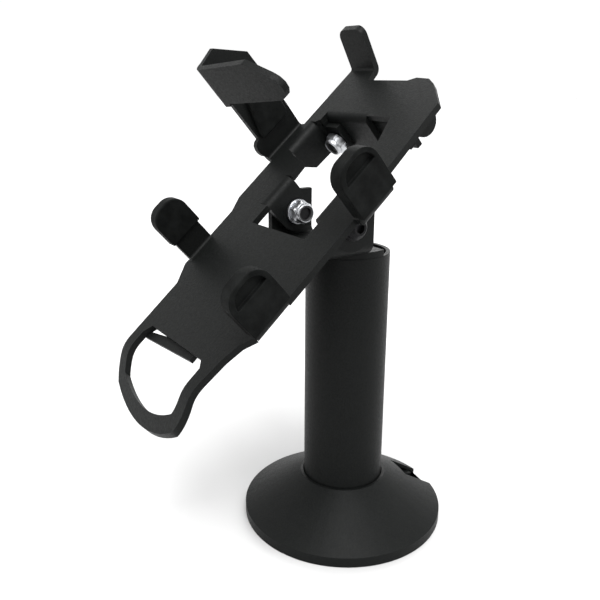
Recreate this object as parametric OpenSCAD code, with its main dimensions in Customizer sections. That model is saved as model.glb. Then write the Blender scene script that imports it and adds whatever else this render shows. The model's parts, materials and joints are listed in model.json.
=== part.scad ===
// Swivel and tilt counter stand for a handheld card payment terminal
// Millimetres. +Z is up, -Y faces the user, +X is the user's right.
// Origin: centre of the underside of the base, on the pole's axis.

/* [Base] */
// Outside diameter of the cone-shaped base cover
cover_dia = 101.6; // [90:0.1:120]
// Height of the cover's upright lip
lip_h = 5.2; // [3:0.1:10]
// Height of the cover's collar above the counter
cover_h = 22.8; // [16:0.1:35]
// Wall thickness of the cover
cover_wall = 1.6; // [1:0.1:3]
// Radial gap between the cover's collar and the pole
collar_gap = 0.5; // [0.3:0.1:2]
// Diameter of the steel base plate
plate_dia = 93.8; // [80:1:110]
// Thickness of the steel base plate
plate_t = 4; // [3:0.5:8]
// Thickness of the rubber pad under the base plate
pad_t = 1.5; // [1:0.5:3]
// Pitch circle of the counter screws
screw_pcd = 72; // [60:1:84]
// Number of counter screws
screw_count = 3; // [3:1:4]
// Diameter of the counter screw holes
screw_hole = 5.5; // [4:0.1:7]
// Width of the cable notch in the cover
notch_w = 16; // [8:1:24]
// Turn of the cable notch away from straight back
notch_turn = -10.5; // [-30:1:30]

/* [Pole] */
// Outside diameter of the pole
pole_dia = 40; // [32:0.5:50]
// Wall thickness of the pole
pole_wall = 2; // [1.5:0.1:3]
// Height of the pole's top rim
pole_top = 140; // [100:1:250]
// Height of the pole's bottom rim
pole_bottom = 8; // [6:0.5:12]
// Outside diameter of the swivel post inside the pole
post_dia = 30; // [24:0.5:32]
// Wall thickness of the swivel post
post_wall = 3; // [2:0.5:5]
// Height of the swivel post's top
post_top = 56; // [40:1:90]
// Radial running gap of the swivel bushes
bush_gap = 0.06; // [0.01:0.01:0.1]
// Thickness of the pole's top plate
cap_t = 3; // [2:0.5:5]
// Distance from the pole's axis to the straight back edge of the top plate
cap_back = 6; // [2:0.5:15]

/* [Yoke] */
// Width over the yoke's two ears
yoke_w = 50; // [40:1:70]
// Sheet thickness of the yoke
yoke_t = 3; // [2:0.5:5]
// Depth of the ears from front to back
ear_depth = 23; // [18:0.5:30]
// Distance of the tilt axis in front of the pole's axis
axis_front = 17; // [0:0.5:25]
// Height of the tilt axis above the counter
axis_z = 157.2; // [120:0.1:260]
// Height of the ears' square back corners above the tilt axis
ear_up = 9.7; // [6:0.1:12]

/* [Cradle] */
// Tilt of the cradle from flat, as stored
rest_tilt = 41; // [0:1:75]
// Sheet thickness of the cradle
sheet_t = 3; // [2:0.5:4]
// Distance from the tilt axis to the cradle's front face
face_n = 14.5; // [12:0.5:30]
// Half width of the cradle's left side
left_w = 43.5; // [38:0.5:50]
// Half width of the cradle's right edge
right_w = 42; // [38:0.5:50]
// Distance from the middle to the lower right hook's outer face
hook_low = 44; // [40:0.5:50]
// Distance from the middle to the upper right hook's outer face
hook_high = 48.5; // [42:0.5:54]
// Half width of the finger loop at the lower end
loop_w = 33; // [26:0.5:40]
// Half width of the opening in the finger loop
loop_in = 26.5; // [18:0.5:36]
// Downward slope of the loop's end
loop_slope = 30; // [0:5:45]
// Half width over the cradle's two pivot ears
pivot_w = 21; // [17:0.5:30]
// Inside radius of the sheet bends
bend_in = 1.5; // [0.5:0.5:4]
// Height of the tall left arm above the tilt axis
arm_top = 72.5; // [50:0.5:90]
// Bend of the tab at the top left
tab_lean = 77; // [60:1:90]
// Bend of the front flap on the arm
flap_turn = 96; // [80:1:110]

/* [Hardware] */
// Shank diameter of the tilt bolts and the corner bolt
bolt_d = 5.9; // [5:0.1:8]
// Width across flats of the lock nuts
nut_af = 10; // [8:0.5:13]
// Height of the lock nuts
nut_h = 6; // [4:0.5:8]
// Outside diameter of the plain washers
washer_d = 12; // [9:0.5:18]
// Thickness of the plain washers
washer_t = 1.6; // [1:0.1:2]

/* [View] */
// Sub-part to draw

/* [Hidden] */
$fn = 64;
black = [0.11, 0.11, 0.11];
rubber = [0.07, 0.07, 0.07];
zinc = [0.75, 0.76, 0.78];
nylon = [0.85, 0.85, 0.80];
pole_r = pole_dia / 2;
bore_r = pole_r - pole_wall;
post_r = post_dia / 2;
post_in = post_r - post_wall;
plate_z = pad_t;
plate_top = plate_z + plate_t;
collar_r = pole_r + collar_gap;
cover_r = cover_dia / 2;
yoke_z = pole_top + cap_t;
yoke_top = yoke_z + yoke_t;
yoke_out = yoke_w / 2;
yoke_in = yoke_out - yoke_t;
yoke_bend = yoke_t;
ear_r = face_n - sheet_t - 0.3;
back_n = face_n - sheet_t;
bend_out = bend_in + sheet_t;
up_z = face_n + bend_in;
down_z = back_n - bend_in;
bolt_r = bolt_d / 2;
head_seat = yoke_out + washer_t;
nut_seat = pivot_w - sheet_t - 0.3 - washer_t;
flat_gap = 0.3;
win_y = 50;
corner_x = -29.4;
corner_z = 1.3;
loop_y = -94;
loop_r = 16;

// Quarter-turn sheet bend about +Z, from +X to +Y
module arc(ri, ro, len) {
    linear_extrude(len) intersection() {
        difference() { circle(ro); circle(ri); }
        square(2 * ro);
    }
}
// Points on an arc, and a sheet's section that follows it and runs on straight
function arc_pts(c, r, a0, a1) = [for (i = [0 : 12]) let (a = a0 + (a1 - a0) * i / 12)
    [c[0] + r * cos(a), c[1] + r * sin(a)]];
function run_on(c, r, a, side, len) = [c[0] + r * cos(a) - side * len * sin(a),
    c[1] + r * sin(a) + side * len * cos(a)];
function fold(c, ri, ro, a0, a1, len) = let (side = a1 > a0 ? 1 : -1)
    concat(arc_pts(c, ro, a0, a1), [run_on(c, ro, a1, side, len),
        run_on(c, ri, a1, side, len)], arc_pts(c, ri, a1, a0));
// Bend about a line along Y; quad 0 is +X+Z, 1 is -X+Z, 2 is -X-Z, 3 is +X-Z
module bend_y(cx, cz, y0, y1, quad, ri = bend_in, ro = bend_out) {
    translate([cx, y1, cz]) rotate([90, 0, 0]) rotate([0, 0, 90 * quad])
        arc(ri, ro, y1 - y0);
}
// Bend about a line along X; quad 0 is +Y+Z, 1 is -Y+Z, 2 is -Y-Z, 3 is +Y-Z
module bend_x(cy, cz, x0, x1, quad, ri = bend_in, ro = bend_out) {
    translate([x0, cy, cz]) rotate([90, 0, 90]) rotate([0, 0, 90 * quad])
        arc(ri, ro, x1 - x0);
}
module box(x0, x1, y0, y1, z0, z1) {
    translate([x0, y0, z0]) cube([x1 - x0, y1 - y0, z1 - z0]);
}
module rod_x(r, x0, x1, y, z) {
    translate([x0, y, z]) rotate([0, 90, 0]) cylinder(r = r, h = x1 - x0);
}
module rod_y(r, y0, y1, x, z) {
    translate([x, y1, z]) rotate([90, 0, 0]) cylinder(r = r, h = y1 - y0);
}
// Upright slab standing across X with two rounded top corners
module slab(x0, x1, y0, y1, z0, z1, r) {
    box(x0, x1, y0, y1, z0, z1 - r);
    box(x0, x1, y0 + r, y1 - r, z0, z1);
    for (y = [y0 + r, y1 - r]) rod_x(r, x0, x1, y, z1 - r);
}
// Flat rectangle with rounded corners
module rrect(x0, x1, y0, y1, r) {
    translate([x0 + r, y0]) square([x1 - x0 - 2 * r, y1 - y0]);
    translate([x0, y0 + r]) square([x1 - x0, y1 - y0 - 2 * r]);
    for (x = [x0 + r, x1 - r], y = [y0 + r, y1 - r]) translate([x, y]) circle(r);
}
// Rounded rectangle with a bowed lower side
module bowed(x0, x1, y0, y1, r, bow) {
    intersection() {
        rrect(x0, x1, y0, y1, r);
        translate([0, y0 + bow]) circle(bow, $fn = 128);
    }
}
// Profile in the Y-Z plane made into a plate from x0 to x1
module side_plate(x0, x1, pts) {
    translate([x0, 0, 0]) rotate([90, 0, 90]) linear_extrude(x1 - x0) polygon(pts);
}
// Moves the cradle's own frame (X across, Y up the plate, Z out of its face)
module on_cradle() {
    translate([0, -axis_front, axis_z]) rotate([rest_tilt, 0, 0]) children();
}
// Button head with a hex socket, seat at z = 0, shank going down
module button_bolt(d, len, head_d, head_h, af) {
    difference() {
        union() {
            cylinder(d = head_d, h = head_h * 0.35);
            translate([0, 0, head_h * 0.35])
                cylinder(d1 = head_d, d2 = head_d * 0.6, h = head_h * 0.65);
        }
        translate([0, 0, head_h * 0.35]) cylinder(d = af / cos(30), h = head_h, $fn = 6);
    }
    translate([0, 0, -len]) cylinder(d = d, h = len);
}
// Lock nut with its bearing face at z = 0, collar at the far end
module lock_nut(af, h, bore) {
    difference() {
        union() {
            cylinder(d = af / cos(30), h = h * 0.66, $fn = 6);
            cylinder(d = af * 0.93, h = h * 0.85);
            translate([0, 0, h * 0.85]) cylinder(d1 = af * 0.93, d2 = af * 0.82, h = h * 0.15);
        }
        translate([0, 0, -1]) cylinder(r = bore, h = h + 2);
        translate([0, 0, h * 0.7]) cylinder(r = bore + 0.7, h = h);
    }
}
// Nylon ring that sits in the nut's collar
module insert_ring(h, bore) {
    translate([0, 0, h * 0.7]) difference() {
        cylinder(r = bore + 0.7, h = h * 0.24);
        translate([0, 0, -1]) cylinder(r = bore, h = h);
    }
}
module washer(d, bore, t) {
    difference() {
        cylinder(d = d, h = t);
        translate([0, 0, -1]) cylinder(r = bore, h = t + 2);
    }
}
// Puts a fastener on the tilt axis at distance x, facing away from the middle
module at_pivot(x, side, out = 1) {
    translate([side * x, -axis_front, axis_z]) rotate([0, 90 * side * out, 0]) children();
}

module base_plate() {
    color(black) difference() {
        translate([0, 0, plate_z]) cylinder(d = plate_dia, h = plate_t);
        translate([0, 0, -1]) cylinder(r = post_in, h = 20);
        rotate([0, 0, notch_turn]) box(-5, 5, 0, plate_dia, -1, 20);
        for (i = [0 : screw_count - 1])
            rotate([0, 0, 270 + i * 360 / screw_count]) translate([screw_pcd / 2, 0, -1])
                cylinder(d = screw_hole, h = 20);
    }
}
module foot_pad() {
    color(rubber) difference() {
        cylinder(d = plate_dia - 1, h = pad_t);
        translate([0, 0, -1]) cylinder(r = post_in, h = 20);
        rotate([0, 0, notch_turn]) box(-5, 5, 0, plate_dia, -1, 20);
        for (i = [0 : screw_count - 1])
            rotate([0, 0, 270 + i * 360 / screw_count]) translate([screw_pcd / 2, 0, -1])
                cylinder(d = screw_hole, h = 20);
    }
}
module swivel_post() {
    color(zinc) difference() {
        translate([0, 0, plate_top]) cylinder(r = post_r, h = post_top - plate_top);
        translate([0, 0, plate_top - 1]) cylinder(r = post_in, h = post_top);
        translate([0, 0, post_top - 3.7]) difference() {
            cylinder(r = post_r + 1, h = 1.5);
            translate([0, 0, -1]) cylinder(r = post_r - 0.8, h = 4);
        }
        rotate([0, 0, notch_turn]) box(-5, 5, 0, 30, plate_top - 1, plate_top + 8);
    }
}
module base_cover() {
    top_r = collar_r + 1.4;
    color(black) difference() {
        union() {
            cylinder(r = cover_r, h = lip_h);
            translate([0, 0, lip_h]) cylinder(r1 = cover_r, r2 = top_r, h = cover_h - lip_h);
        }
        translate([0, 0, -1]) cylinder(r = cover_r + 5, h = 1.3);
        translate([0, 0, -1]) cylinder(r = cover_r - cover_wall, h = lip_h);
        translate([0, 0, lip_h - 1.01]) cylinder(r1 = cover_r - cover_wall,
            r2 = collar_r, h = cover_h - lip_h - 0.99);
        translate([0, 0, -1]) cylinder(r = collar_r, h = cover_h + 2);
        rotate([0, 0, notch_turn]) box(-notch_w / 2, notch_w / 2, 34, 60, -1, 30);
    }
}
module retaining_ring() {
    color(zinc) translate([0, 0, post_top - 3.7]) difference() {
        cylinder(r = bore_r - 1, h = 1.5);
        translate([0, 0, -1]) cylinder(r = post_r - 0.8, h = 4);
    }
}
module pole_tube() {
    color(black) translate([0, 0, pole_bottom]) difference() {
        cylinder(r = pole_r, h = pole_top - pole_bottom);
        translate([0, 0, -1]) cylinder(r = bore_r, h = pole_top);
    }
}
module lower_bush() {
    color(nylon) difference() {
        union() {
            translate([0, 0, pole_bottom]) cylinder(r = bore_r, h = 10);
            translate([0, 0, plate_top + 0.3])
                cylinder(r = pole_r - 0.3, h = pole_bottom - plate_top - 0.3);
        }
        translate([0, 0, -1]) cylinder(r = post_r + bush_gap, h = 40);
    }
}
module upper_bush() {
    color(nylon) translate([0, 0, post_top - 16]) difference() {
        cylinder(r = bore_r, h = 12);
        translate([0, 0, -1]) cylinder(r = post_r + bush_gap, h = 40);
    }
}
module pole_cap() {
    color(black) difference() {
        intersection() {
            translate([0, 0, pole_top]) cylinder(r = pole_r, h = cap_t);
            box(-40, 40, -40, cap_back, pole_top - 1, pole_top + 10);
        }
        for (x = [-7, 7]) translate([x, -11, pole_top - 1]) cylinder(r = 2.6, h = 10);
    }
}
module yoke() {
    front = -axis_front - ear_depth / 2;
    back = -axis_front + ear_depth / 2;
    flat = yoke_in - yoke_bend;
    color(black) difference() {
        union() {
            box(-flat, flat, front, back, yoke_z, yoke_top);
            for (s = [0, 1]) mirror([s, 0, 0]) {
                bend_y(flat, yoke_top + yoke_bend, front, back, 3, yoke_bend,
                    yoke_bend + yoke_t);
                box(yoke_in, yoke_out, front, back, yoke_top + yoke_bend, axis_z);
                box(yoke_in, yoke_out, -axis_front, back, axis_z, axis_z + ear_up);
                rod_x(ear_r, yoke_in, yoke_out, -axis_front, axis_z);
            }
        }
        rod_x(3.2, -60, 60, -axis_front, axis_z);
        for (x = [-7, 7]) translate([x, -11, yoke_z - 1]) cylinder(r = 2.6, h = 10);
    }
}
module yoke_screws() {
    color(black) for (x = [-7, 7]) translate([x, -11, yoke_top])
        button_bolt(4.9, 12, 9.5, 2.75, 3);
}
module yoke_nuts() {
    color(zinc) for (x = [-7, 7]) translate([x, -11, pole_top]) mirror([0, 0, 1])
        lock_nut(8, 5, 2.5);
}
module tilt_bolts() {
    color(black) for (s = [-1, 1]) at_pivot(head_seat, s)
        button_bolt(bolt_d, 15.1, 10.5, 3.3, 4);
}
module head_washers() {
    color(black) for (s = [-1, 1]) at_pivot(yoke_out, s) washer(washer_d, 3.2, washer_t);
}
module friction_washers() {
    color(nylon) for (s = [-1, 1]) at_pivot(pivot_w + 0.3, s)
        washer(16, 3.1, yoke_in - pivot_w - 0.3);
}
module nut_washers() {
    color(zinc) for (s = [-1, 1]) at_pivot(nut_seat, s) washer(washer_d, 3.2, washer_t);
}
module tilt_nuts() {
    color(zinc) for (s = [-1, 1]) at_pivot(nut_seat, s, -1) lock_nut(nut_af, nut_h, 3);
}
module nut_inserts() {
    color(nylon) for (s = [-1, 1]) at_pivot(nut_seat, s, -1) insert_ring(nut_h, 3);
}

// Outline of the cradle's sheet seen square on
module cradle_outline() {
    difference() {
        union() {
            bowed(-loop_w, loop_w, -119.8, -60, 20, 60);
            polygon([[-loop_w, -100], [-loop_w, -62], [-39.5, -52], [-39.5, -49 - flat_gap],
                [-36.5, -49 - flat_gap], [-36.5, -34 + flat_gap], [-39.5, -34 + flat_gap],
                [-39.5, -18], [-left_w, -9.5], [-left_w, 16 - flat_gap],
                [-45, 16 - flat_gap], [-45, 41 + flat_gap], [-left_w, 41 + flat_gap],
                [-left_w, 79.5], [-25.5, 79.5], [-24, 73.5], [4, 73.6], [8.5, 75.6], [17, 75],
                [22.5, 71.8], [34.5, 60.5], [36.5, 30], [37.5, 13.5 + flat_gap],
                [hook_high - 4.5, 13.5 + flat_gap], [hook_high - 4.5, -5 - flat_gap],
                [right_w, -5 - flat_gap], [right_w, -48 + flat_gap],
                [hook_low - 4.5, -48 + flat_gap], [hook_low - 4.5, -66 - flat_gap],
                [41.5, -66 - flat_gap], [37, -72], [34.5, -80], [loop_w, -92],
                [loop_w, -100]]);
        }
        intersection() {
            bowed(-loop_in, loop_in, -113.3, -70, 13.5, 53.5);
            translate([-loop_in - 1, -115]) square([2 * loop_in + 2, 19]);
        }
        polygon([[-loop_in, -97], [-loop_in, -89], [-23.5, -84.5], [loop_in - 3, -84.5],
            [loop_in, -87.5], [loop_in, -97]]);
        polygon([[-17.4, -20.4], [24.3, -20.4], [24.3, -9.5 - flat_gap],
            [22.5, -9.5 - flat_gap], [22.5, 8.5 + flat_gap], [24.8, 8.5 + flat_gap],
            [19.8, 31.5], [13.5, win_y], [-3 + flat_gap, win_y],
            [-3 + flat_gap, win_y + 1.5], [-33.5, win_y + 1.5], [-33.5, 44.9],
            [-34.5, 44.9], [-35.9, 43.5], [-40.5, 43.5], [-40.5, 24], [-36, 23.4], [-31, 21],
            [-19.5, 18.5], [-18.4, 8.5 + flat_gap],
            [-22.5, 8.5 + flat_gap], [-22.5, -9.5 - flat_gap],
            [-17.4, -9.5 - flat_gap]]);
    }
}
// Side view of the sheet: flat, then a bend and a straight slope at the loop
module sheet_profile() {
    side_plate(-60, 60, concat([[90, back_n], [90, face_n]], fold([loop_y,
        face_n - loop_r], loop_r - sheet_t, loop_r, 90, 90 + loop_slope, 25)));
}
module pivot_ear() {
    bend_y(-pivot_w - bend_in, down_z, -9.5, 8.5, 0);
    box(-pivot_w, -pivot_w + sheet_t, -9.5, 8.5, 0, down_z);
    rod_x(9, -pivot_w, -pivot_w + sheet_t, -0.5, 0);
}
// Tall left arm with its front flap
module tall_arm() {
    out = -49.5;
    bend_y(-45, up_z, 16, 41, 2);
    side_plate(out, out + sheet_t, [[16, up_z], [14.9, 17.4], [14.2, 19.5],
        [14.2, 22], [14.9, 24], [16.4, 25.2], [18.3, 25.6], [18.3, 48.5],
        [19.3, 49.5], [19.3, 71], [27.5, arm_top], [40.5, 60], [41.5, 28],
        [41, up_z]]);
    intersection() {
        translate([0, 0, 49.5]) linear_extrude(21.5)
            polygon(fold([-45, 19.3], bend_in, bend_out, 180, 180 + flap_turn, 50));
        translate([0, 40, 0]) rotate([90, 0, 0]) linear_extrude(40)
            polygon([[-50, 40], [-50, 80], [-12, 80], [-12, 71], [-10.5, 70.6], [0.8, 63.2],
                [3.2, 61], [4.5, 58.2], [4.2, 55.2], [2.2, 52.6], [-1, 51], [-41, 51],
                [-42, 49], [-42, 40]]);
    }
}
module cradle_plate() {
    color(black) on_cradle() difference() {
        union() {
            intersection() {
                sheet_profile();
                translate([0, 0, -30]) linear_extrude(80) cradle_outline();
            }
            pivot_ear();
            mirror([1, 0, 0]) pivot_ear();
            tall_arm();
            // lower left, lower right and upper right hooks
            bend_y(-36.5, up_z, -49, -34, 2);
            slab(-41, -38, -49, -34, up_z, 40.5, 6);
            bend_y(hook_low - 4.5, up_z, -66, -48, 3);
            slab(hook_low - sheet_t, hook_low, -66, -48, up_z, 35.5, 6);
            bend_y(hook_high - 4.5, up_z, -5, 13.5, 3);
            slab(hook_high - sheet_t, hook_high, -5, 13.5, up_z, 37, 6);
            // leaning tab at the top left
            intersection() {
                side_plate(-left_w, -25.5,
                    fold([79.5, up_z], bend_in, bend_out, -90, tab_lean - 90, 24));
                translate([0, 100, 0]) rotate([90, 0, 0]) linear_extrude(40)
                    rrect(-left_w, -25.5, 0, 35, 4.5);
            }
            // window flaps folded down and bolted at their corner
            bend_y(-40.5, down_z, 24, 43.5, 0);
            side_plate(-39, -36, [[24, down_z], [24, 2.5], [29.5, -3.2], [43.5, -4],
                [43.5, down_z]]);
            translate([-34.5, 43.5, -4]) rotate([0, 0, 90])
                arc(bend_in, bend_out, back_n + 4.5);
            box(-34.5, -24, 45, 48, -4, down_z);
            box(-34.5, -33.2, 45, 48.6, down_z, back_n + 0.5);
            bend_x(win_y + 1.5, back_n - 0.5, -33.5, -3, 1, 0.5, 3.5);
            box(-33.5, -3, 48, 51, -5, back_n - 0.5);
            // bridge for a cable tie under the edge of the finger loop
            translate([0, 0, back_n - 2.2]) linear_extrude(2.2) polygon([[-29, -90.2],
                [13, -87.2], [13, -82.6], [-11, -82.6], [-13, -84.5], [-29, -87.2]]);
        }
        rod_x(3.0, -30, 30, 0, 0);
        rod_y(3.2, 40, 60, corner_x, corner_z);
    }
}
module rubber_cap(x0, x1, y0, y1, z0, z1, r) {
    color(rubber) on_cradle() difference() {
        slab(x0, x1, y0, y1, z0, z1, r);
        children();
    }
}
module cap_lower_left() {
    rubber_cap(-42.8, -36.6, -50.3, -32.7, 25.5, 43.3, 7.3)
        slab(-41, -38, -49, -34, 0, 40.5, 6);
}
// Cap on a right-hand hook with a moulded finger slot in its outer face
module slotted_cap(x, y0, y1, z1, slot_z) {
    rubber_cap(x - 4.2, x + 2.6, y0, y1, 17, z1, 8) {
        slab(x - sheet_t, x, y0 + 1.2, y1 - 1.2, 0, z1 - 3, 6);
        intersection() {
            slab(x + 0.6, x + 9, y0 + 2.6, y1 - 2.2, 10, z1 - 1.8, 6.6);
            box(x + 0.6, x + 9, y0, y1, slot_z - 1.9, z1);
        }
    }
}
module cap_lower_right() {
    slotted_cap(hook_low, -67.2, -46.5, 38.5, 32.5);
}
module cap_upper_right() {
    slotted_cap(hook_high, -6.2, 14.7, 40, 34);
}
module arm_pad() {
    color(rubber) on_cradle() side_plate(-46.5, -43.3, [[19.6, 25], [20.3, 29.5],
        [21.6, 35], [23.3, 41], [25.5, 46], [28.5, 50], [38.6, 50], [38.6, 27.5],
        [36.5, 25]]);
}
module corner_bolt() {
    color(black) on_cradle() translate([corner_x, 51 + washer_t, corner_z])
        rotate([-90, 0, 0]) button_bolt(bolt_d, 12.6, 10.5, 3.3, 4);
}
module corner_washer() {
    color(black) on_cradle() translate([corner_x, 51, corner_z]) rotate([-90, 0, 0])
        washer(washer_d, 3.2, washer_t);
}
module corner_nut() {
    color(zinc) on_cradle() translate([corner_x, 45, corner_z]) rotate([90, 0, 0])
        rotate([0, 0, 30]) lock_nut(nut_af, nut_h, 3);
}
module corner_insert() {
    color(nylon) on_cradle() translate([corner_x, 45, corner_z]) rotate([90, 0, 0])
        insert_ring(nut_h, 3);
}
// Stiffening bracket spot-welded under the head, with a lobed ear on the right
module rear_bracket() {
    top = back_n - 0.05;
    low = top - bend_out;
    color(black) on_cradle() union() {
        box(-18, 18, 51.4, 54.4, -5, low);
        bend_x(55.9, low, -18, 18, 1);
        box(-18, 19.5, 55.9, 66, top - sheet_t, top);
        bend_y(19.5, low, 55.9, 66, 0);
        side_plate(21, 24, concat([[42.5, top], [42.5, 4.5], [44.3, 1.8], [47.7, 1.8],
            [49.5, 4.5]], arc_pts([57.5, 5.9], 6.8, 192, 348), [[66, 4.5], [66, low],
            [55.4, low], [55.4, top]]));
    }
}

base_plate();
foot_pad();
swivel_post();
base_cover();
retaining_ring();
pole_tube();
lower_bush();
upper_bush();
pole_cap();
yoke();
yoke_screws();
yoke_nuts();
tilt_bolts();
head_washers();
friction_washers();
nut_washers();
tilt_nuts();
nut_inserts();
cradle_plate();
cap_lower_left();
cap_lower_right();
cap_upper_right();
arm_pad();
corner_bolt();
corner_washer();
corner_nut();
corner_insert();
rear_bracket();
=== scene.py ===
"""Looks for the swivel and tilt terminal stand. Metres, in the CAD's frame."""

import json
import math

import bmesh
import bpy
from mathutils import Matrix, Vector

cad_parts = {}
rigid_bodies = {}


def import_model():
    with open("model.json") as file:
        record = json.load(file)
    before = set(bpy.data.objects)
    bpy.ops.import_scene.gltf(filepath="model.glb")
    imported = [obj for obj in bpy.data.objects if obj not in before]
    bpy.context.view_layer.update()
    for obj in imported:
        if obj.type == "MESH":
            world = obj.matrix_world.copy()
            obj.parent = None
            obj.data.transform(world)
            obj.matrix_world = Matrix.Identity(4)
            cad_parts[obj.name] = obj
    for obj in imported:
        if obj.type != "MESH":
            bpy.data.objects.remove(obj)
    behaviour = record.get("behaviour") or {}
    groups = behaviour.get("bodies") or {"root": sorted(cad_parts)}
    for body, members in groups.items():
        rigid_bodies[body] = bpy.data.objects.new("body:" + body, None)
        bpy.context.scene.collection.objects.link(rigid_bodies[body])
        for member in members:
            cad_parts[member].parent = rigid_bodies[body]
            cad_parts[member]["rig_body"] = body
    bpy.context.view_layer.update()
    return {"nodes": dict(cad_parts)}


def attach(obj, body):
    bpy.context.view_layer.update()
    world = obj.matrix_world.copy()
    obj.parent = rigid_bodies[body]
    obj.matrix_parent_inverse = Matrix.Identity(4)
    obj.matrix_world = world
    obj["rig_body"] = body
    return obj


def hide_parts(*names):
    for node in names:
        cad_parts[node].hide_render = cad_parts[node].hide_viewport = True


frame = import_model()
NODES = frame["nodes"]
MM = 0.001

# ---------------------------------------------------------------- camera
CAM_POS = (0.2553, -0.2027, 0.2190)
CAM_LENS, CAM_SENSOR = 42.27, 36.0
CAM_NEAR, CAM_FAR = 0.01, 20.0
CAM_PITCH, CAM_YAW, CAM_ROLL, FRAME_TURN = 17.775, -3.963, 0.223, 51.551


def turned(degrees, axis):
    return Matrix.Rotation(math.radians(degrees), 4, axis)


def link(data, name):
    ob = bpy.data.objects.new(name, data)
    bpy.context.scene.collection.objects.link(ob)
    return ob


def make_camera():
    cam = bpy.data.cameras.new("camera")
    cam.sensor_width, cam.lens = CAM_SENSOR, CAM_LENS
    cam.clip_start, cam.clip_end = CAM_NEAR, CAM_FAR
    ob = link(cam, "camera")
    ob.matrix_world = (Matrix.Translation(CAM_POS) @ turned(FRAME_TURN - CAM_YAW, "Z")
                       @ turned(90.0 - CAM_PITCH, "X") @ turned(CAM_ROLL, "Z"))
    bpy.context.scene.camera = ob


make_camera()


# ------------------------------------------------------------- materials
class Nodes:
    """Short-hand for building one node material."""

    def __init__(self, name):
        self.mat = bpy.data.materials.new(name)
        self.mat.use_nodes = True
        self.tree = self.mat.node_tree
        self.bsdf = self.tree.nodes["Principled BSDF"]
        coord = self.tree.nodes.new("ShaderNodeTexCoord")
        self.place = coord.outputs["Object"]

    def noise(self, scale, detail=2.0, rough=0.5):
        n = self.tree.nodes.new("ShaderNodeTexNoise")
        n.inputs["Scale"].default_value = scale
        n.inputs["Detail"].default_value = detail
        n.inputs["Roughness"].default_value = rough
        self.tree.links.new(self.place, n.inputs["Vector"])
        return n.outputs["Fac"]

    def cells(self, scale):
        n = self.tree.nodes.new("ShaderNodeTexVoronoi")
        n.inputs["Scale"].default_value = scale
        self.tree.links.new(self.place, n.inputs["Vector"])
        return n.outputs["Distance"]

    def ramp(self, fac, stops):
        """Colour or grey value by position along the ramp."""
        r = self.tree.nodes.new("ShaderNodeValToRGB")
        for e, (pos, col) in zip(r.color_ramp.elements, stops):
            e.position = pos
            e.color = (col, col, col, 1) if isinstance(col, float) else (*col, 1)
        self.tree.links.new(fac, r.inputs["Fac"])
        return r.outputs["Color"]

    def mix(self, fac, a, b):
        """Colour socket a, turning to the plain colour b as fac rises."""
        m = self.tree.nodes.new("ShaderNodeMix")
        m.data_type = "RGBA"
        self.tree.links.new(fac, m.inputs[0])
        self.tree.links.new(a, m.inputs[6])
        m.inputs[7].default_value = (*b, 1)
        return m.outputs[2]

    def bump(self, height, strength, distance, under=None):
        b = self.tree.nodes.new("ShaderNodeBump")
        b.inputs["Strength"].default_value = strength
        b.inputs["Distance"].default_value = distance
        self.tree.links.new(height, b.inputs["Height"])
        if under:
            self.tree.links.new(under, b.inputs["Normal"])
        return b.outputs["Normal"]

    def set(self, **sockets):
        """Sets or links the shader's sockets, an underscore standing for a space."""
        for name, val in sockets.items():
            sock = self.bsdf.inputs[name.replace("_", " ")]
            if hasattr(val, "links"):
                self.tree.links.new(val, sock)
            else:
                sock.default_value = val
        return self.mat


def powder_coat(name, grain=1.0):
    """Fine-textured matt black powder coat over sheet steel."""
    m = Nodes(name)
    speck = m.noise(2600.0, 3.0, 0.6)
    cloud = m.noise(60.0, 3.0, 0.55)
    base = m.ramp(speck, [(0.38, (0.0022, 0.0025, 0.0024)),
                          (0.66, (0.0078, 0.0086, 0.0083))])
    base = m.mix(m.ramp(cloud, [(0.35, 0.0), (0.7, 0.35)]), base,
                 (0.0062, 0.0069, 0.0066))
    orange_peel = m.bump(m.cells(1300.0), 0.28 * grain, 0.00012)
    normal = m.bump(speck, 0.42 * grain, 0.00010, orange_peel)
    rough = m.ramp(m.noise(900.0), [(0.3, 0.40), (0.7, 0.54)])
    return m.set(Base_Color=base, Roughness=rough, Normal=normal, Metallic=0.0,
                 Specular_IOR_Level=0.09)


def moulded_rubber(name, tone=1.0):
    """Matt black rubber with a trace of dust."""
    m = Nodes(name)
    fine = m.noise(1800.0)
    dust = m.noise(140.0, 4.0, 0.6)
    dark = tuple(c * tone for c in (0.0024, 0.0027, 0.0026))
    grey = tuple(c * tone for c in (0.0080, 0.0087, 0.0084))
    base = m.ramp(dust, [(0.35, dark), (0.75, grey)])
    rough = m.ramp(fine, [(0.3, 0.55), (0.75, 0.72)])
    normal = m.bump(dust, 0.15, 0.0002, m.bump(fine, 0.3, 0.00008))
    return m.set(Base_Color=base, Roughness=rough, Normal=normal,
                 Specular_IOR_Level=0.05)


def zinc_plate(name):
    """Bright zinc plate, slightly uneven."""
    m = Nodes(name)
    spangle, worn = m.noise(220.0), m.noise(160.0)
    base = m.ramp(spangle, [(0.3, (0.42, 0.43, 0.45)), (0.7, (0.54, 0.55, 0.57))])
    rough = m.ramp(worn, [(0.3, 0.30), (0.75, 0.38)])
    return m.set(Base_Color=base, Roughness=rough, Normal=m.bump(worn, 0.02, 0.00003),
                 Metallic=1.0)


def black_steel(name):
    """Black oxide finish of the bolts, screws and outer washers."""
    m = Nodes(name)
    mottle = m.noise(500.0, 3.0, 0.55)
    base = m.ramp(mottle, [(0.3, (0.005, 0.005, 0.0055)), (0.7, (0.012, 0.012, 0.013))])
    rough = m.ramp(m.noise(1500.0), [(0.3, 0.30), (0.7, 0.46)])
    return m.set(Base_Color=base, Roughness=rough, Normal=m.bump(mottle, 0.2, 0.00006),
                 Metallic=0.25, Specular_IOR_Level=0.12)


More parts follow.
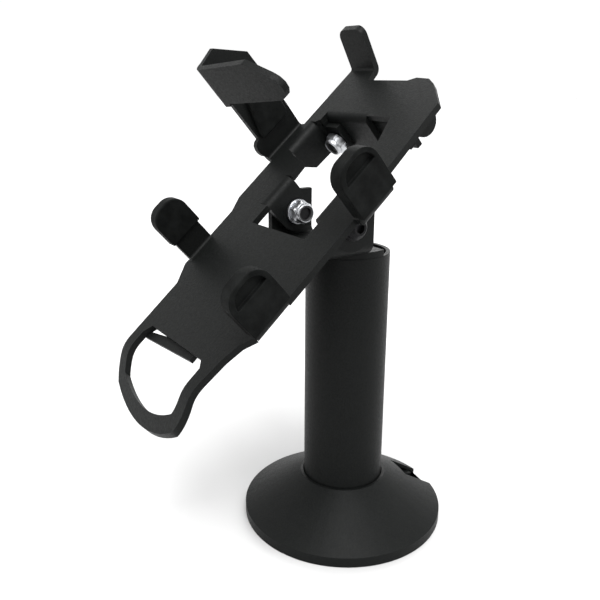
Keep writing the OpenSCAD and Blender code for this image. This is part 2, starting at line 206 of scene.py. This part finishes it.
def nylon(name, dark, light):
    m = Nodes(name)
    mottle = m.noise(240.0, 3.0, 0.5)
    base = m.ramp(mottle, [(0.3, dark), (0.7, light)])
    rough = m.ramp(m.noise(1200.0), [(0.3, 0.38), (0.7, 0.5)])
    return m.set(Base_Color=base, Roughness=rough, Normal=m.bump(mottle, 0.12, 0.00008))


COAT = powder_coat("black_powder_coat")
COAT_ROUND = powder_coat("black_powder_coat_pole", 1.15)
RUBBER = moulded_rubber("black_rubber")
PAD = moulded_rubber("black_rubber_pad", 1.3)
ZINC = zinc_plate("zinc_plated_steel")
BLACK = black_steel("black_oxide_steel")
WHITE_NYLON = nylon("natural_nylon", (0.55, 0.54, 0.49), (0.66, 0.65, 0.60))
DARK_NYLON = nylon("dark_nylon", (0.010, 0.010, 0.011), (0.022, 0.022, 0.024))

# --------------------------------------------------------- shape helpers
SHARP = math.radians(28.0)
FLAT = math.radians(1.0)
WELD = 2e-6
FLAT_WEIGHT = 90


def replace_node(ob, node, mat):
    """Puts the piece on its node's body, in place of the node."""
    ob.data.materials.clear()
    ob.data.materials.append(mat)
    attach(ob, NODES[node]["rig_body"])
    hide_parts(node)


def bake(ob):
    """Applies every modifier, so the piece is one plain mesh."""
    deps = bpy.context.evaluated_depsgraph_get()
    mesh = bpy.data.meshes.new_from_object(ob.evaluated_get(deps))
    ob.modifiers.clear()
    ob.data = mesh


def clean_copy(node):
    """The node's mesh with its flat faces whole and its hard edges marked."""
    mesh = NODES[node].data.copy()
    bm = bmesh.new()
    bm.from_mesh(mesh)
    bmesh.ops.remove_doubles(bm, verts=bm.verts, dist=WELD)
    bmesh.ops.dissolve_limit(bm, angle_limit=FLAT, verts=bm.verts, edges=bm.edges)
    for f in bm.faces:
        f.smooth = True
    bm.to_mesh(mesh)
    bm.free()
    mesh.set_sharp_from_angle(angle=SHARP)
    return mesh


def softened(node, width, mat, segments=2):
    """The node's own solid with every hard edge rounded off, in place of the node."""
    ob = link(clean_copy(node), node + "_finish")
    bev = ob.modifiers.new("edge", "BEVEL")
    bev.width, bev.segments = width * MM, segments
    bev.limit_method, bev.angle_limit = "ANGLE", SHARP
    bev.use_clamp_overlap = True
    bev.miter_outer = "MITER_ARC"
    even = ob.modifiers.new("even", "WEIGHTED_NORMAL")
    even.mode, even.weight, even.keep_sharp = "FACE_AREA", FLAT_WEIGHT, True
    bpy.context.view_layer.update()
    bake(ob)
    replace_node(ob, node, mat)


# ------------------------------------------------------------ the pieces
# slot, material, edge radius in mm, bevel segments, nodes
FINISHES = [
    ("black_powder_coat", COAT, 0.9, 3, ["base_cover"]),
    ("black_powder_coat", COAT_ROUND, 0.15, 2, ["pole_tube"]),
    ("black_powder_coat", COAT, 0.4, 2, ["pole_cap"]),
    ("black_powder_coat", COAT, 0.45, 2, ["yoke"]),
    ("black_powder_coat", COAT, 0.4, 2, ["cradle_plate"]),
    ("black_powder_coat", COAT, 0.5, 3, ["base_plate"]),
    ("black_powder_coat", COAT, 0.4, 2, ["rear_bracket"]),
    ("black_rubber", RUBBER, 0.9, 4,
     ["cap_lower_left", "cap_lower_right", "cap_upper_right"]),
    ("black_rubber", RUBBER, 0.8, 3, ["arm_pad"]),
    ("black_rubber", PAD, 0.3, 2, ["foot_pad"]),
    ("zinc_plated_steel", ZINC, 0.25, 2,
     ["swivel_post", "retaining_ring", "yoke_nuts", "nut_washers"]),
    ("black_oxide_steel", BLACK, 0.25, 2,
     ["yoke_screws", "tilt_bolts", "head_washers", "corner_bolt", "corner_washer"]),
    ("nylon", WHITE_NYLON, 0.2, 2, ["lower_bush", "upper_bush", "friction_washers"]),
    ("nylon", DARK_NYLON, 0.1, 2, ["nut_inserts", "corner_insert"]),
]
for slot, mat, width, segments, nodes in FINISHES:
    for node in nodes:
        softened(node, width, mat, segments)

# -------------------------------------------------------- the M6 lock nuts
# Each ring's radius and height in mm above the bearing face, and True where the
# ring keeps to the hexagon. The last ring joins the first, closing the bore.
NUT_AF, NUT_BORE, NUT_SEAT = 10.0, 3.05, 3.75
NUT_RINGS = [(NUT_BORE, 0.15, False), (4.75, 0.0, False), (5.0, 0.12, True),
             (5.75, 0.75, True), (5.75, 3.25, True), (5.05, 3.95, True),
             (4.72, 4.0, False), (4.62, 4.15, False), (4.62, 5.2, False),
             (4.5, 5.6, False), (4.25, 5.9, False), (3.95, 6.0, False),
             (NUT_SEAT, 5.9, False), (NUT_SEAT, 4.25, False), (NUT_BORE, 4.2, False)]
NUT_AROUND = 96
NUT_SHARP = math.radians(24.0)
SIXTH = math.pi / 3
REST_TILT, AXIS_FRONT, AXIS_Z = math.radians(41.0), 17.0, 157.2
TILT_SEAT_X = 16.1
CORNER_SEAT = (-29.4, 45.0, 1.3)


def nut_ring(radius, z, hexed):
    """One ring of a nut's points, in mm."""
    points = []
    for i in range(NUT_AROUND):
        a = 2.0 * math.pi * i / NUT_AROUND
        from_flat = (a + SIXTH / 2) % SIXTH - SIXTH / 2
        r = min(radius, NUT_AF / 2 / math.cos(from_flat)) if hexed else radius
        points.append(Vector((r * math.cos(a) * MM, r * math.sin(a) * MM, z * MM)))
    return points


def nut_mesh(places, name):
    """Chamfered hexagon nuts with a rolled collar, one at each placing matrix."""
    verts, faces = [], []
    count = len(NUT_RINGS)
    for place in places:
        first = len(verts)
        for ring in NUT_RINGS:
            verts += [tuple(place @ p) for p in nut_ring(*ring)]
        for k in range(count):
            low = first + k * NUT_AROUND
            high = first + (k + 1) % count * NUT_AROUND
            for i in range(NUT_AROUND):
                j = (i + 1) % NUT_AROUND
                faces.append((low + i, low + j, high + j, high + i))
    mesh = bpy.data.meshes.new(name)
    mesh.from_pydata(verts, [], faces)
    mesh.update()
    mesh.polygons.foreach_set("use_smooth", [True] * len(faces))
    mesh.set_sharp_from_angle(angle=NUT_SHARP)
    return mesh


def facing(centre, direction, turn):
    """Places a fastener at centre (mm), pointing along direction."""
    aim = Vector(direction).to_track_quat("Z", "Y").to_matrix().to_4x4()
    return Matrix.Translation(Vector(centre) * MM) @ aim @ turned(turn, "Z")


def plate_point(across, along, out):
    """A point of the cradle's own frame at rest, in millimetres."""
    c, s = math.cos(REST_TILT), math.sin(REST_TILT)
    return (across, -AXIS_FRONT + along * c - out * s, AXIS_Z + along * s + out * c)


down_plate = (0, -math.cos(REST_TILT), -math.sin(REST_TILT))
NUTS = {
    "tilt_nuts": [facing((side * TILT_SEAT_X, -AXIS_FRONT, AXIS_Z), (-side, 0, 0), 8.0)
                  for side in (-1, 1)],
    "corner_nut": [facing(plate_point(*CORNER_SEAT), down_plate, 30.0)],
}
for node, places in NUTS.items():
    nut = link(nut_mesh(places, node), node + "_finish")
    replace_node(nut, node, ZINC)

# ------------------------------------------------------- floor and light
FLOOR_HALF = 6.0


def make_floor():
    s = FLOOR_HALF
    mesh = bpy.data.meshes.new("floor")
    mesh.from_pydata([(-s, -s, 0), (s, -s, 0), (s, s, 0), (-s, s, 0)], [], [(0, 1, 2, 3)])
    floor = link(mesh, "floor")
    m = Nodes("floor_paint")
    tone = m.ramp(m.noise(3.0), [(0.3, (0.50, 0.50, 0.50)), (0.7, (0.53, 0.53, 0.53))])
    m.set(Base_Color=tone, Roughness=0.9, Specular_IOR_Level=0.1)
    mesh.materials.append(m.mat)


def aim_lamp(lamp, name, pos, aim):
    ob = link(lamp, name)
    ob.location = pos
    ob.rotation_euler = (Vector(aim) - Vector(pos)).to_track_quat("-Z", "Y").to_euler()


def sun(name, toward, angle, strength):
    """Large soft source, seen from every point of the floor alike."""
    lamp = bpy.data.lights.new(name, "SUN")
    lamp.energy, lamp.angle = strength, math.radians(angle)
    aim_lamp(lamp, name, toward, (0, 0, 0))


def area(name, pos, aim_z, size, power):
    """Soft box aimed at the pole's axis at height aim_z."""
    lamp = bpy.data.lights.new(name, "AREA")
    lamp.shape, lamp.size, lamp.size_y = "RECTANGLE", size[0], size[1]
    lamp.energy = power
    aim_lamp(lamp, name, pos, (0, 0, aim_z))


make_floor()
sun("key", (0.45, -0.28, 1.0), 34.0, 3.9)
sun("fill", (-0.7, 0.75, 0.8), 50.0, 1.3)
area("left", (-0.9, -0.9, 0.55), 0.13, (0.5, 0.9), 1.0)
area("right", (1.1, 0.9, 0.6), 0.13, (0.5, 0.9), 3.0)
area("rear", (-0.7, 0.8, 1.0), 0.15, (0.9, 0.9), 3.0)
world = bpy.data.worlds.new("studio")
world.use_nodes = True
background = world.node_tree.nodes["Background"]
background.inputs["Color"].default_value = (1, 1, 1, 1)
background.inputs["Strength"].default_value = 1.02
bpy.context.scene.world = world
bpy.context.scene.view_settings.view_transform = "Standard"
